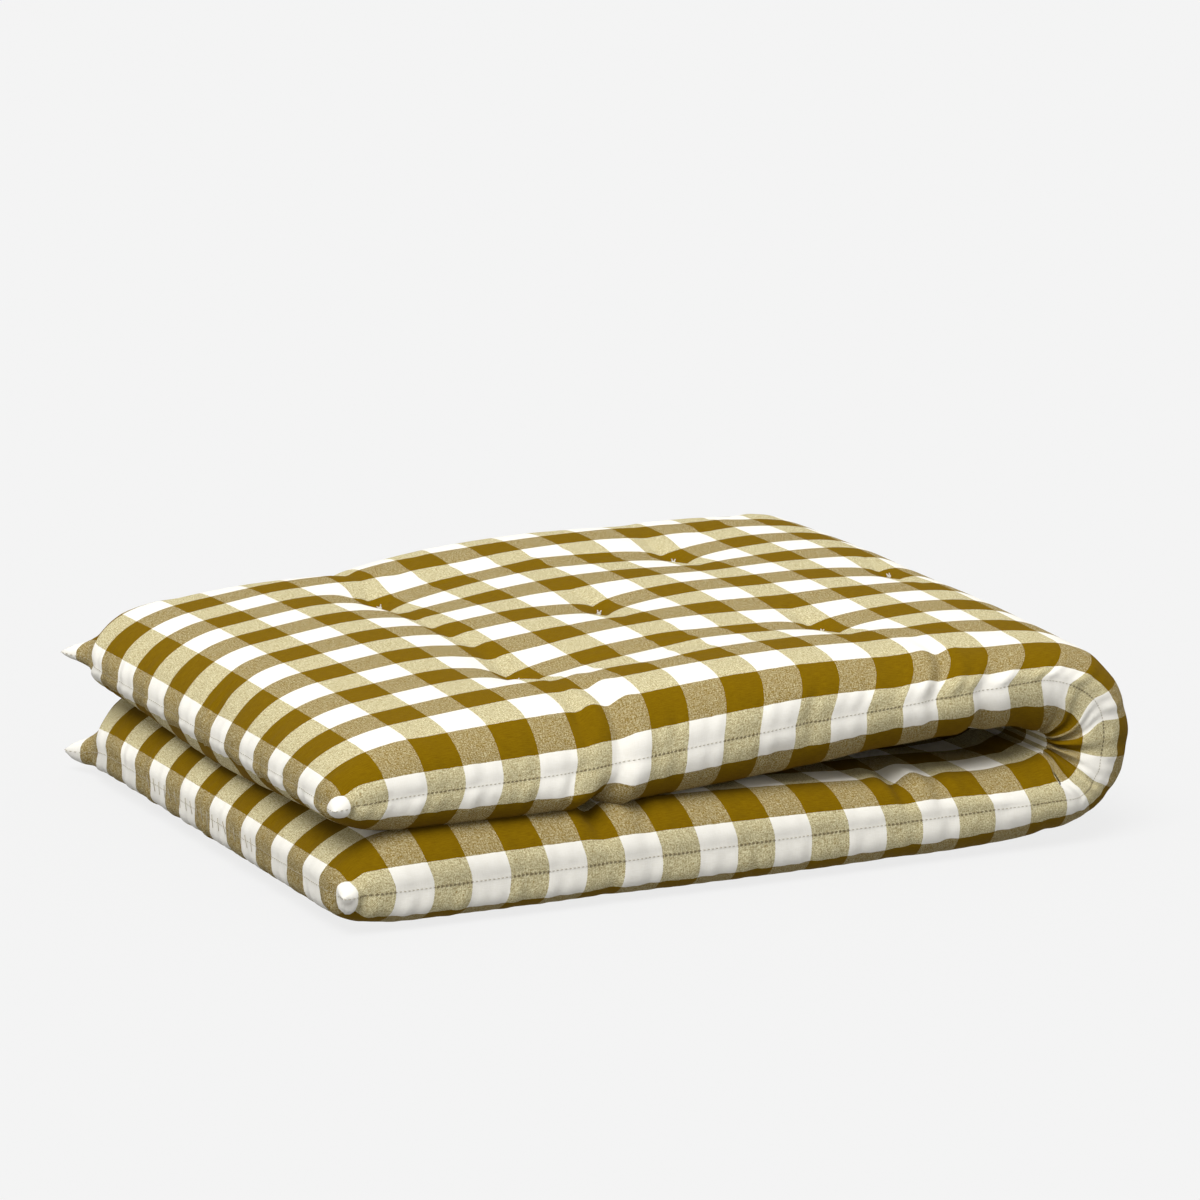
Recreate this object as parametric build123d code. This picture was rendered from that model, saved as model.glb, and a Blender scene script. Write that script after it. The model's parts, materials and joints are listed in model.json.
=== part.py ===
from build123d import *
import os

# A tufted cotton futon mattress, folded in half once.
# Millimetres, +Z up. X runs along the folded mattress, from its open end to the fold,
# and Y runs across it. The origin is the middle of the underside.

# The woven check of the cover sets out the whole mattress.
CHECKS_LONG = 46            # from one end seam to the other, laid flat
CHECKS_WIDE = 18            # from one side seam to the other
CHECKS_ROUND_FOLD = 7       # taken up by the half turn of the fold
CHECK_X = 36.0              # one check along the filled mattress
CHECK_Y = 36.4              # one check across it

LAYER = 92.0                # thickness of one layer of the folded mattress
SEAM_Z = LAYER / 2          # the two cover panels are sewn together at half thickness
LAYER_GAP = 2.0             # between the two layers
FOLD_R = LAYER + LAYER_GAP / 2
FOLD_THICKNESS = 73.0       # the padding is squeezed thinner where it turns
PANEL = 1.2                 # cover cloth
WIDTH = CHECKS_WIDE * CHECK_Y
CHECKS_PER_LAYER = (CHECKS_LONG - CHECKS_ROUND_FOLD) / 2
LAYER_LENGTH = CHECKS_PER_LAYER * CHECK_X
X_FOLD = (LAYER_LENGTH + FOLD_R) / 2 - FOLD_R      # where the layers end and the fold begins
X_END = X_FOLD - LAYER_LENGTH
BODY_GAP = 0.3              # half the clearance between pieces that move apart

BATTING_LAYERS = 5
SEAM_ALLOWANCE = 12.0       # cloth turned in along the seam
SEAM_STACK = 2.4            # its two thicknesses of cloth, pressed flat

FOLD_SECTORS = 5
SECTOR_ANGLE = 180.0 / FOLD_SECTORS
SECTOR_CLEARANCE = 0.75     # degrees taken off each side of a sector
FOLD_INNER_R = FOLD_R - FOLD_THICKNESS
INNER_ROUND = FOLD_THICKNESS - SEAM_Z

# Tufts stand in a quincunx: pairs alternate with single ones in the middle.
PAIR_COLUMNS = (7, 15)
SINGLE_COLUMNS = (11, 19)
FOLD_COLUMN = 23
PAIR_ROWS = (5, 13)
MIDDLE_ROW = 9
PIT_REACH = 34.0            # radius of the hollow that a tuft pulls into a face
PIT_FLOOR = 5.0             # radius of its flat bottom
PIT_SLOPE = 0.88            # depth over reach
FOLD_PIT_REACH = 24.0
FOLD_PIT_DEPTH = 22.0
FOLD_INNER_PIT_REACH = 8.0
FOLD_INNER_PIT_DEPTH = 5.0
FOLD_INNER_PIT_LEAD = 4.0   # how far its mouth runs out past the curved inner face
TWINE_R = 1.5
TWINE_HOLE_R = 1.6
KNOT_R = 4.0
TAIL_R = 1.0
TAIL_LENGTH = 8.0
TAIL_TILT = 25.0

CLOSING_STITCHES = 21
CLOSING_PITCH = 14.0
CLOSING_STITCH = 9.0
CLOSING_THREAD_R = 0.6


def quarter_round_face(low, high, inset, rounds):
    """Outer half of a padded section: a flat face at the bottom that rounds up to the seam."""
    radius = SEAM_Z - inset
    left = low + inset
    right = high - inset if rounds == "both ends" else high
    flat_left = low + SEAM_Z
    flat_right = high - SEAM_Z if rounds == "both ends" else high
    edges = [
        CenterArc((flat_left, SEAM_Z), radius, 180, 90),
        Line((flat_left, inset), (flat_right, inset)),
        Line((right, SEAM_Z), (left, SEAM_Z)),
    ]
    if rounds == "both ends":
        edges.append(CenterArc((flat_right, SEAM_Z), radius, 270, 90))
    else:
        edges.append(Line((high, inset), (high, SEAM_Z)))
    return make_face(edges)


def outer_half_volume(inset):
    """The half of the lower layer that lies under the seam, its skin taken in by inset."""
    length = X_FOLD - BODY_GAP - X_END
    across = quarter_round_face(-WIDTH / 2, WIDTH / 2, inset, "both ends")
    along = quarter_round_face(X_END, X_FOLD - BODY_GAP, inset, "one end")
    run_of_section = extrude(Plane.YZ.offset(X_END) * across, length)
    run_of_outline = extrude(Plane.XZ * along, WIDTH / 2, both=True)
    return run_of_section & run_of_outline


def above_seam(solid):
    return mirror(solid, Plane.XY.offset(SEAM_Z))


def layer_tufts():
    """Places of one layer's tufts, with how far each one's hollow reaches."""
    places = []
    for column in sorted(PAIR_COLUMNS + SINGLE_COLUMNS):
        x = X_END + column * CHECK_X
        reach = min(PIT_REACH, X_FOLD - x - 1.0)
        rows = PAIR_ROWS if column in PAIR_COLUMNS else (MIDDLE_ROW,)
        for row in rows:
            y = (row - CHECKS_WIDE / 2) * CHECK_Y
            places.append((x, y, reach))
    return places


def pit(x, y, reach, grow):
    """The hollow of a tuft in the underside. grow gives the back of the cloth that lines it."""
    depth = PIT_SLOPE * reach + grow
    cone = Cone(reach + grow, PIT_FLOOR + grow, depth)
    return Pos(x, y, depth / 2) * cone


def layer_pits(grow):
    under = [pit(x, y, reach, grow) for x, y, reach in layer_tufts()]
    return under + [above_seam(hollow) for hollow in under]


def twine_holes():
    return [Pos(x, y, SEAM_Z) * Cylinder(TWINE_HOLE_R, LAYER) for x, y, _ in layer_tufts()]


def knot_with_tails():
    """A knot that sits on the floor of a pit, at z = 0, with its two cut ends standing up."""
    knot = Pos(0, 0, KNOT_R) * Sphere(KNOT_R)
    for side in (-1, 1):
        tail = Pos(0, 0, TAIL_LENGTH / 2) * Cylinder(TAIL_R, TAIL_LENGTH)
        knot += Pos(0, 0, KNOT_R) * Rot(0, side * TAIL_TILT, 0) * tail
    return knot


def tuft_tie(length):
    """Doubled twine between the floors of two pits, knotted at both ends, along +Z from z = 0."""
    twine = Pos(0, 0, length / 2) * Cylinder(TWINE_R, length + 2 * KNOT_R)
    low_knot = Rot(180, 0, 0) * knot_with_tails()
    high_knot = Pos(0, 0, length) * knot_with_tails()
    return twine + low_knot + high_knot


def layer_panels():
    """The two cotton panels of the lower layer: under the seam and above it."""
    skin = outer_half_volume(0) - layer_pits(0)
    lining = outer_half_volume(PANEL) - layer_pits(PANEL)
    outer = skin - lining - twine_holes()
    return outer, above_seam(outer)


def layer_padding():
    """What fills the lower layer: the battings, and the seam allowance between their edges."""
    half = outer_half_volume(PANEL)
    room = half + above_seam(half)
    inside = LAYER - 2 * PANEL
    length = X_FOLD - X_END
    ring_room = Pos(X_END + PANEL + SEAM_ALLOWANCE + length / 2, 0, SEAM_Z) * Box(
        length, WIDTH - 2 * (PANEL + SEAM_ALLOWANCE), LAYER)
    seam_slab = Pos((X_END + X_FOLD) / 2, 0, SEAM_Z) * Box(length, WIDTH, SEAM_STACK)
    seam_ring = (room & seam_slab) - ring_room

    filled = room - layer_pits(PANEL) - twine_holes()
    thickness = inside / BATTING_LAYERS
    battings = []
    for number in range(BATTING_LAYERS):
        z = PANEL + (number + 0.5) * thickness
        slab = Pos((X_END + X_FOLD) / 2, 0, z) * Box(length, WIDTH, thickness)
        batting = filled & slab
        if number == BATTING_LAYERS // 2:
            batting = batting & ring_room
        battings.append(batting)
    return battings, seam_ring


def fold_axis():
    return Axis((X_FOLD, 0, FOLD_R), (0, -1, 0))


def sector(face, number):
    """Turns a section of the mattress round the fold, through one sector of it."""
    start = number * SECTOR_ANGLE + SECTOR_CLEARANCE
    turned = Plane.YZ.offset(X_FOLD) * face
    solid = revolve(turned, fold_axis(), SECTOR_ANGLE - 2 * SECTOR_CLEARANCE)
    return solid.rotate(fold_axis(), start)


def fold_outer_face(inset):
    """Section under the seam where the mattress turns, the same as in the layers."""
    return quarter_round_face(-WIDTH / 2, WIDTH / 2, inset, "both ends")


def fold_inner_face(inset):
    """Section above the seam where the mattress turns: shallower, with a tighter edge."""
    radius = INNER_ROUND - inset
    flat = WIDTH / 2 - INNER_ROUND
    top = FOLD_THICKNESS - inset
    side = WIDTH / 2 - inset
    return make_face([
        CenterArc((-flat, SEAM_Z), radius, 90, 90),
        Line((-flat, top), (flat, top)),
        CenterArc((flat, SEAM_Z), radius, 0, 90),
        Line((side, SEAM_Z), (-side, SEAM_Z)),
    ])


def fold_tuft_frames(number):
    """Frames at the tufts of one sector: origin on the fold's axis, +Z outward."""
    if number != FOLD_SECTORS // 2:
        return []
    frames = []
    for row in PAIR_ROWS:
        y = (row - CHECKS_WIDE / 2) * CHECK_Y
        frames.append(Plane(origin=(X_FOLD, y, FOLD_R), x_dir=(0, 1, 0), z_dir=(1, 0, 0)))
    return frames


def fold_pits(frames, grow):
    """The hollows on the outer and the inner side of each tuft on the fold."""
    outer_depth = FOLD_PIT_DEPTH + grow
    inner_start = FOLD_INNER_R - FOLD_INNER_PIT_LEAD
    inner_depth = FOLD_INNER_PIT_LEAD + FOLD_INNER_PIT_DEPTH + grow
    outer = Cone(PIT_FLOOR + grow, FOLD_PIT_REACH + grow, outer_depth)
    inner = Cone(FOLD_INNER_PIT_REACH + grow, PIT_FLOOR + grow, inner_depth)
    hollows = []
    for frame in frames:
        hollows.append(frame * Pos(0, 0, FOLD_R - outer_depth / 2) * outer)
        hollows.append(frame * Pos(0, 0, inner_start + inner_depth / 2) * inner)
    return hollows


def fold_holes(frames):
    return [frame * Pos(0, 0, FOLD_R / 2) * Cylinder(TWINE_HOLE_R, FOLD_R) for frame in frames]


def less(solid, cutters):
    for cutter in cutters:
        solid = solid - cutter
    return solid


def fold_pieces(number):
    """Panels, batting and seam allowance of one sector of the fold."""
    frames = fold_tuft_frames(number)
    holes = fold_holes(frames)
    panels = []
    linings = []
    for skin_face, lining_face in (
        (fold_outer_face(0), fold_outer_face(PANEL)),
        (fold_inner_face(0), fold_inner_face(PANEL)),
    ):
        skin = less(sector(skin_face, number), fold_pits(frames, 0))
        lining = less(sector(lining_face, number), fold_pits(frames, PANEL))
        panels.append(less(skin - lining, holes))
        linings.append(lining_face)
    room = linings[0] + linings[1]
    strips = []
    for side in (-1, 1):
        y = side * (WIDTH / 2 - PANEL - SEAM_ALLOWANCE / 2)
        strips.append(Pos(y, SEAM_Z) * Rectangle(SEAM_ALLOWANCE, SEAM_STACK))
    seams = sector((strips[0] + strips[1]) & room, number)
    batting = sector(room - strips[0] - strips[1], number)
    batting = less(batting, fold_pits(frames, PANEL) + holes)
    return panels[0], panels[1], batting, seams


def solids_of(shape):
    return Compound(children=list(shape.solids())) if len(shape.solids()) > 1 else shape.solid()


os.makedirs("parts", exist_ok=True)


def save(name, shape):
    export_step(solids_of(shape), f"parts/{name}.step")


def upper(shape):
    """The upper layer is the lower one turned over about the fold's axis."""
    return mirror(shape, Plane.XY.offset(FOLD_R))


# Both layers.
outer_panel, inner_panel = layer_panels()
battings, seam_ring = layer_padding()
for layer_name, place in (("lower", lambda shape: shape), ("upper", upper)):
    save(f"{layer_name}_outer_panel", place(outer_panel))
    save(f"{layer_name}_inner_panel", place(inner_panel))
    save(f"{layer_name}_seam_allowance", place(seam_ring))
    for number, batting in enumerate(battings, 1):
        save(f"{layer_name}_batting_{number}", place(batting))
    for number, (x, y, reach) in enumerate(layer_tufts(), 1):
        floor = PIT_SLOPE * reach
        tie = Pos(x, y, floor) * tuft_tie(LAYER - 2 * floor)
        save(f"{layer_name}_tuft_{number}", place(tie))

# The fold.
for number in range(FOLD_SECTORS):
    pieces = fold_pieces(number)
    for piece_name, piece in zip(("outer_panel", "inner_panel", "batting", "seam_allowance"), pieces):
        save(f"fold_{number + 1}_{piece_name}", piece)
    inner_floor = FOLD_INNER_R + FOLD_INNER_PIT_DEPTH
    outer_floor = FOLD_R - FOLD_PIT_DEPTH
    for count, frame in enumerate(fold_tuft_frames(number), 1):
        tie = frame * Pos(0, 0, inner_floor) * tuft_tie(outer_floor - inner_floor)
        save(f"fold_{number + 1}_tuft_{count}", tie)

# The hand-sewn stretch that closes the cover after filling, in the middle of the lower end.
stitches = []
for number in range(CLOSING_STITCHES):
    y = (number - (CLOSING_STITCHES - 1) / 2) * CLOSING_PITCH
    thread = Cylinder(CLOSING_THREAD_R, CLOSING_STITCH)
    stitches.append(Pos(X_END - CLOSING_THREAD_R, y, SEAM_Z) * thread)
save("closing_stitches", Compound(children=stitches))
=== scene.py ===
import json
import math

import bpy
import numpy as np
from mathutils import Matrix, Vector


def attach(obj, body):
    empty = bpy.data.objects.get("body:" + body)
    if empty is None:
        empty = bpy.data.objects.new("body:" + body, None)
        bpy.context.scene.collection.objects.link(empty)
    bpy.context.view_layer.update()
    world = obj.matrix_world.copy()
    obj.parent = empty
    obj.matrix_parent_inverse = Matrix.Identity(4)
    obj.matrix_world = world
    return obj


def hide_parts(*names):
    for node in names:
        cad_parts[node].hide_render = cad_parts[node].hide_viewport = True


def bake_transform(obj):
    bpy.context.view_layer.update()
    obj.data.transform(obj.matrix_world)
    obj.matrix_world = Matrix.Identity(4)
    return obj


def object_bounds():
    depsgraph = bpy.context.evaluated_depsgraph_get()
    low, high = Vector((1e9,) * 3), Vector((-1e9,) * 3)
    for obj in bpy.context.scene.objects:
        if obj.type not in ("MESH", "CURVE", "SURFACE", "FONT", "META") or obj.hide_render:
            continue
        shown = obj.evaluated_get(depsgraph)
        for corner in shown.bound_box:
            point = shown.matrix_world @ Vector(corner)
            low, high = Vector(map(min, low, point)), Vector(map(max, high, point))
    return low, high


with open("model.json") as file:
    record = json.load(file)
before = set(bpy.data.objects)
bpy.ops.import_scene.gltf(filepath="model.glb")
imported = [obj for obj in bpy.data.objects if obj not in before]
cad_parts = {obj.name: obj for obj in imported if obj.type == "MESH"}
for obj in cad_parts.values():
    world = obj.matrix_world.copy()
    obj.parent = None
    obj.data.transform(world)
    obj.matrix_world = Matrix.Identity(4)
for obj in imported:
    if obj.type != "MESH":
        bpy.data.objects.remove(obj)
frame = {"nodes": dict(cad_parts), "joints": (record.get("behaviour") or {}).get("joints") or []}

cad_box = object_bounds()
scene = bpy.context.scene

# ---- Camera, floor and light -------------------
# A long lens looks down a little on the open end and one long side of the folded mattress.
# The floor is plain and pale. One large soft lamp stands above it, in a white room.

cad_low, cad_high = cad_box
half_width = (cad_high.y - cad_low.y) / 2
LAYER_LENGTH = 0.702           # from the open end to the axis of the fold

CAMERA_FROM_CORNER = (-2.083, -4.949, 1.515)     # metres from the near corner of the open end
CAMERA_TURN = 25.2             # degrees
CAMERA_TILT = 12.76
LENS = 195.0                   # millimetres


def colour(red, green, blue):
    """A colour given as a screen shows it, 0 to 255, in the linear values that shaders use."""
    linear = []
    for level in (red, green, blue):
        share = level / 255
        linear.append(share / 12.92 if share <= 0.04045 else ((share + 0.055) / 1.055) ** 2.4)
    return (*linear, 1.0)


class Wire:
    """A shader socket. Operators on it add Math nodes, and node() adds any other node."""

    def __init__(self, tree, socket=None):
        self.tree = tree
        self.socket = socket

    def node(self, kind, settings, values, output=0):
        made = self.tree.nodes.new(kind)
        for name, setting in settings.items():
            setattr(made, name, setting)
        for name, value in values.items():
            if isinstance(value, Wire):
                self.tree.links.new(value.socket, made.inputs[name])
            else:
                made.inputs[name].default_value = value
        return Wire(self.tree, made.outputs[output])

    def math(self, operation, *values):
        entries = dict(enumerate((self, *values)))
        return self.node("ShaderNodeMath", {"operation": operation}, entries)

    def __add__(self, other):
        return self.math("ADD", other)

    __radd__ = __add__

    def __mul__(self, other):
        return self.math("MULTIPLY", other)

    __rmul__ = __mul__

    def __sub__(self, other):
        return self.math("SUBTRACT", other)

    def __rsub__(self, other):
        return self.node("ShaderNodeMath", {"operation": "SUBTRACT"}, {0: other, 1: self})

    def __gt__(self, other):
        return self.math("GREATER_THAN", other)

    def sine(self):
        return self.math("SINE")

    def fraction(self):
        return self.math("FRACT")

    def size(self):
        return self.math("ABSOLUTE")

    def ramp(self, low, high):
        """Smooth step from 0 at low to 1 at high."""
        settings = {"interpolation_type": "SMOOTHSTEP"}
        return self.node("ShaderNodeMapRange", settings, {0: self, 1: low, 2: high, 3: 0.0, 4: 1.0})

    def mix(self, start, end):
        """Colour that goes from start to end as this socket goes from 0 to 1."""
        return self.node("ShaderNodeMix", {"data_type": "RGBA"}, {0: self, 6: start, 7: end}, 2)


def new_material(name):
    """An empty material: its shader, and a wire to add nodes to."""
    material = bpy.data.materials.new(name)
    material.use_nodes = True
    shader = material.node_tree.nodes["Principled BSDF"]
    return material, shader, Wire(material.node_tree)


def plug(wire, shader, socket):
    wire.tree.links.new(wire.socket, shader.inputs[socket])


def mesh_object(name, points, faces):
    mesh = bpy.data.meshes.new(name)
    mesh.from_pydata([tuple(point) for point in points], [], [tuple(face) for face in faces])
    made = bpy.data.objects.new(name, mesh)
    scene.collection.objects.link(made)
    return made


camera_data = bpy.data.cameras.new("camera")
camera_data.lens = LENS
camera_data.clip_end = 100.0
camera = bpy.data.objects.new("camera", camera_data)
scene.collection.objects.link(camera)
open_end_x = frame["joints"][0]["pos_m"][0] - LAYER_LENGTH
camera.location = (open_end_x + CAMERA_FROM_CORNER[0], -half_width + CAMERA_FROM_CORNER[1],
                   CAMERA_FROM_CORNER[2])
camera.rotation_euler = (math.radians(90 - CAMERA_TILT), 0, math.radians(-CAMERA_TURN))
scene.camera = camera
scene.view_settings.view_transform = "Standard"

FLOOR_HALF = 30.0
FLOOR_SHADE = 0.075
FLOOR_GLOW = 0.80
floor_corners = [(-FLOOR_HALF, -FLOOR_HALF, 0), (FLOOR_HALF, -FLOOR_HALF, 0),
                 (FLOOR_HALF, FLOOR_HALF, 0), (-FLOOR_HALF, FLOOR_HALF, 0)]
floor = mesh_object("floor", floor_corners, [(0, 1, 2, 3)])
floor_material, floor_shader, _ = new_material("floor_paper")
floor_shader.inputs["Base Color"].default_value = (FLOOR_SHADE, FLOOR_SHADE, FLOOR_SHADE, 1)
floor_shader.inputs["Roughness"].default_value = 1.0
floor_shader.inputs["Specular IOR Level"].default_value = 0.0
floor_shader.inputs["Emission Color"].default_value = (1, 1, 1, 1)
floor_shader.inputs["Emission Strength"].default_value = FLOOR_GLOW
floor.data.materials.append(floor_material)
floor.visible_diffuse = False

ROOM_ABOVE = 0.60              # brightness of the room overhead and underfoot
ROOM_BELOW = 0.34
ROOM_BLEND = 0.5               # the two meet between this far below and above the horizon
room = bpy.data.worlds.new("room")
scene.world = room
room.use_nodes = True
room_wire = Wire(room.node_tree)
direction = room_wire.node("ShaderNodeTexCoord", {}, {}, "Generated")
height = room_wire.node("ShaderNodeSeparateXYZ", {}, {0: direction}, "Z")
brightness = height.ramp(-ROOM_BLEND, ROOM_BLEND) * (ROOM_ABOVE - ROOM_BELOW) + ROOM_BELOW
room.node_tree.links.new(brightness.socket, room.node_tree.nodes["Background"].inputs["Strength"])
room.node_tree.nodes["Background"].inputs["Color"].default_value = (1, 1, 1, 1)

LAMP_STRENGTH = 2.95
LAMP_SPREAD = math.radians(38)
LAMP_TILT = (math.radians(23), math.radians(-24), 0)
lamp_data = bpy.data.lights.new("softbox", "SUN")
lamp_data.energy = LAMP_STRENGTH
lamp_data.angle = LAMP_SPREAD
lamp = bpy.data.objects.new("softbox", lamp_data)
lamp.rotation_euler = LAMP_TILT
scene.collection.objects.link(lamp)


# ---- The cover, cut and sewn -------------------
# Two cotton panels of 46 by 18 checks are sewn together all round, filled with cotton
# batting, tied through with twine in a quincunx and folded in half once. This is the shape
# in which the cloth is laid out before the filling pushes it up.

CHECK = 0.039                  # one check of the cloth, laid flat
CHECKS_LONG = 46
CHECKS_WIDE = 18
FOLD_START = 19.5              # columns where the half turn of the fold begins and ends
FOLD_END = 26.5
CELLS = 5                      # mesh cells along one check of the simulated cloth
EDGE_ROUND = 0.040             # radius of the rounded edges beside the side seams
END_ROUND = 0.078              # the ends taper over this length

first_hinge = frame["joints"][0]["pos_m"]
last_hinge = frame["joints"][-1]["pos_m"]
fold_x = first_hinge[0]
fold_radius = (last_hinge[2] - first_hinge[2]) / 2
fold_z = (last_hinge[2] + first_hinge[2]) / 2

LOWER_REACH = 0.0137           # the lower seam runs on past the hinge, the upper stops short
UPPER_REACH = -0.0140
UPPER_OVERHANG = 0.004         # the upper layer's open end stands over the lower one's
UPPER_SHIFT = 0.008            # and it lies a little further back
LOWER_SEAM = (0.031, 0.042)    # heights at the open end and at the fold
UPPER_SEAM = (0.106, 0.160)
PARTING = (0.072, 0.092)       # where the two layers meet
TOP = (0.147, 0.186)
TOP_LEVELS_AT = 0.66           # share of the way from the open end to the fold
FLOOR_CLEARANCE = 0.0006
FOLD_LIFT = 0.008              # the underside leaves the floor before the fold
FOLD_LIFT_FROM = 0.80          # shares of the same way, like those of the hollow
FOLD_LIFT_RUN = 0.20
HOLLOW = 0.023                 # half the height of the hollow beside the fold
HOLLOW_START = 0.30
HOLLOW_CLOSES = 0.90
HOLLOW_POWER = 1.3
HOLLOW_LEFT = 0.4              # share of its height that is left right at the fold
LAYER_GAP = 0.001              # half the gap between the layers where they lie together
SEAM_TURN = 0.052              # how far beyond the hinge the seam turns
SEAM_SQUARENESS = (3.4, 1.55)  # of its corner, at the bottom and at the top
INNER_TURN = 0.006             # the inner face's half turn, sideways and upward
INNER_TURN_HEIGHT = HOLLOW_LEFT * HOLLOW + LAYER_GAP
OUTER_TURN_INSET = 0.002       # the outer face's lies a little inside the hinges
OUTER_TURN_HEIGHT = 0.0915
OUTER_SQUARENESS = 2.1
OUTER_SHIFT = 0.006            # the upper face has slid towards the fold
OUTER_EVEN = 0.42
TOP_CROWN = 0.010
CROWN_FULL_AT = 0.25
TOP_LEAN = 0.004               # the far side of the top stands higher
CORNER_POWER = 2               # how full the corners are
UNDERSIDE_EDGE = 0.45          # below 1, so the edge of the underside is tighter
UNDERSIDE_EDGE_POWER = 4       # how late towards the fold that ends
FAR_EDGE = 0.62                # the far and the near edge of the top are tighter too
NEAR_EDGE = 0.75
EDGES_FROM_END = 9             # over this many checks from the open end
EDGES_FROM_FOLD = 3            # and this many from the fold

TROUGH_COLUMNS = (7, 15, 31, 39)
TUFTS = [(column, row) for column in (7, 15, 23, 31, 39) for row in (5, 13)]
TUFTS += [(column, 9) for column in (11, 19, 27, 35)]
TUFT_PULL = 0.06               # share of the padding's height that a tuft takes away
TUFT_REACH = 1.1               # in checks
TROUGH_PULL = 0.07             # a shallow valley runs across through each pair of tufts
TROUGH_REACH = 0.9
TROUGH_DRIFT = 0.25            # and wanders a little
TROUGH_WANDER = 0.7
TROUGH_AT_SIDE = 1.25          # it is deepest at the sides and fades this much a check
TROUGH_FADE = 0.08
CREASE_PULL = 0.02             # creases run between neighbouring tufts
CREASE_REACH = 0.8
LEAST_SHARE = 0.45
UNDERSIDE_SHARE = 0.45         # the underside, pressed on the floor, keeps this much of them
INNER_SHARE = 0.7              # and the faces between the layers, pressed together, this much
PROFILE_POINTS = 60


def rounded_profile(reach, height, span, ends):
    """A flat face with elliptical ends, by arc length: run, place and share of the height."""
    turn = np.linspace(0, math.pi / 2, PROFILE_POINTS)
    place = reach * (1 - np.cos(turn))
    rise = np.sin(turn)
    if ends == 2:
        place = np.concatenate([place, span - place[::-1]])
        rise = np.concatenate([rise, rise[::-1]])
    else:
        place = np.append(place, span)
        rise = np.append(rise, 1.0)
    steps = np.hypot(np.diff(place), height * np.diff(rise))
    return np.concatenate([[0], np.cumsum(steps)]), place, rise


def rounded_turn(angle, reach, height, squareness):
    """A half turn from the bottom, through the far right, to the top, as offsets in x and z. A
    squareness of 2 makes it half an ellipse."""
    sideways = math.sin(angle)
    upward = -math.cos(angle)
    power = 2 / squareness
    return reach * abs(sideways) ** power, math.copysign(height * abs(upward) ** power, upward)


def at(pair, share):
    """The value at a share of the way from the first of a pair to the second."""
    return pair[0] + (pair[1] - pair[0]) * share


columns = np.arange(CHECKS_LONG * CELLS + 1) / CELLS
rows = np.arange(CHECKS_WIDE * CELLS + 1) / CELLS
side_run, side_place, side_rise = rounded_profile(EDGE_ROUND, EDGE_ROUND, 2 * half_width, 2)
row_run = rows / CHECKS_WIDE * side_run[-1]
row_y = np.interp(row_run, side_run, side_place) - half_width
row_rise = np.interp(row_run, side_run, side_rise)
seam_row_y = (rows / CHECKS_WIDE * 2 - 1) * half_width
end_run, end_place, end_rise = rounded_profile(END_ROUND, EDGE_ROUND, LAYER_LENGTH, 1)
across = np.sin(math.pi * rows / CHECKS_WIDE)
leaning = (rows - CHECKS_WIDE / 2) / (CHECKS_WIDE / 2)
seam_mid = (LOWER_SEAM[1] + UPPER_SEAM[1]) / 2


def lie_in_fold(column, line):
    """What lie() gives, for a column that lies in the half turn of the fold."""
    turn = (column - FOLD_START) / (FOLD_END - FOLD_START)
    angle = turn * math.pi
    if line == "seam":
        start_x = at((LOWER_REACH, UPPER_REACH), turn)
        squareness = at(SEAM_SQUARENESS, turn)
        x, z = rounded_turn(angle, SEAM_TURN - start_x, UPPER_SEAM[1] - seam_mid, squareness)
        return fold_x + start_x + x, seam_mid + z, 1.0, 0.0
    if line == "outer":
        start_x = OUTER_SHIFT * turn
        reach = fold_radius - OUTER_TURN_INSET - start_x
        x, z = rounded_turn(angle, reach, OUTER_TURN_HEIGHT, OUTER_SQUARENESS)
        return fold_x + start_x + x, fold_z + FOLD_LIFT * (1 - turn) + z, 1.0, turn ** 2
    x, z = rounded_turn(angle, INNER_TURN, INNER_TURN_HEIGHT, 2.0)
    return fold_x + x, PARTING[1] + z, 1.0, 0.0


def lie(column, line):
    """Where the seam or a panel's face lies at a column: x, height, share of the height that the
    rounded end leaves, and share of the crown."""
    if FOLD_START < column < FOLD_END:
        return lie_in_fold(column, line)
    is_lower = column <= FOLD_START
    share = (column if is_lower else CHECKS_LONG - column) / FOLD_START
    x = np.interp(share * end_run[-1], end_run, end_place)
    rise = np.interp(share * end_run[-1], end_run, end_rise)
    overhang = 0.0 if is_lower else UPPER_OVERHANG
    start_x = fold_x - LAYER_LENGTH - overhang * (1 - share)
    if line == "seam":
        reach = LOWER_REACH if is_lower else UPPER_REACH
        x = start_x + LAYER_LENGTH * share + reach * share ** 2
        return x, at(LOWER_SEAM if is_lower else UPPER_SEAM, share), rise, 0.0
    x += start_x
    if line == "outer" and is_lower:
        lifted = max(0.0, (share - FOLD_LIFT_FROM) / FOLD_LIFT_RUN)
        return x, FLOOR_CLEARANCE + FOLD_LIFT * lifted ** 2, rise, 0.0
    if line == "outer":
        level = min(1.0, share / TOP_LEVELS_AT)
        level = level * level * (3 - 2 * level) * 0.5 + level * 0.5
        return x + OUTER_SHIFT * rise, at(TOP, level), rise, min(1.0, share / CROWN_FULL_AT)
    opened = max(0.0, (share - HOLLOW_START) / (1 - HOLLOW_START))
    closed = max(0.0, (share - HOLLOW_CLOSES) / (1 - HOLLOW_CLOSES))
    narrowing = 1 - (1 - HOLLOW_LEFT) * closed ** 2
    opening = HOLLOW * opened ** HOLLOW_POWER * narrowing + LAYER_GAP
    return x, at(PARTING, share) + (-opening if is_lower else opening), rise, 0.0


def spread(column):
    """The outer panel has less far to go than its cloth is long, so its columns are evened out."""
    marks = (0, FOLD_START - OUTER_EVEN, FOLD_END + OUTER_EVEN, CHECKS_LONG)
    return float(np.interp(column, marks, (0, FOLD_START, FOLD_END, CHECKS_LONG)))


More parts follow.
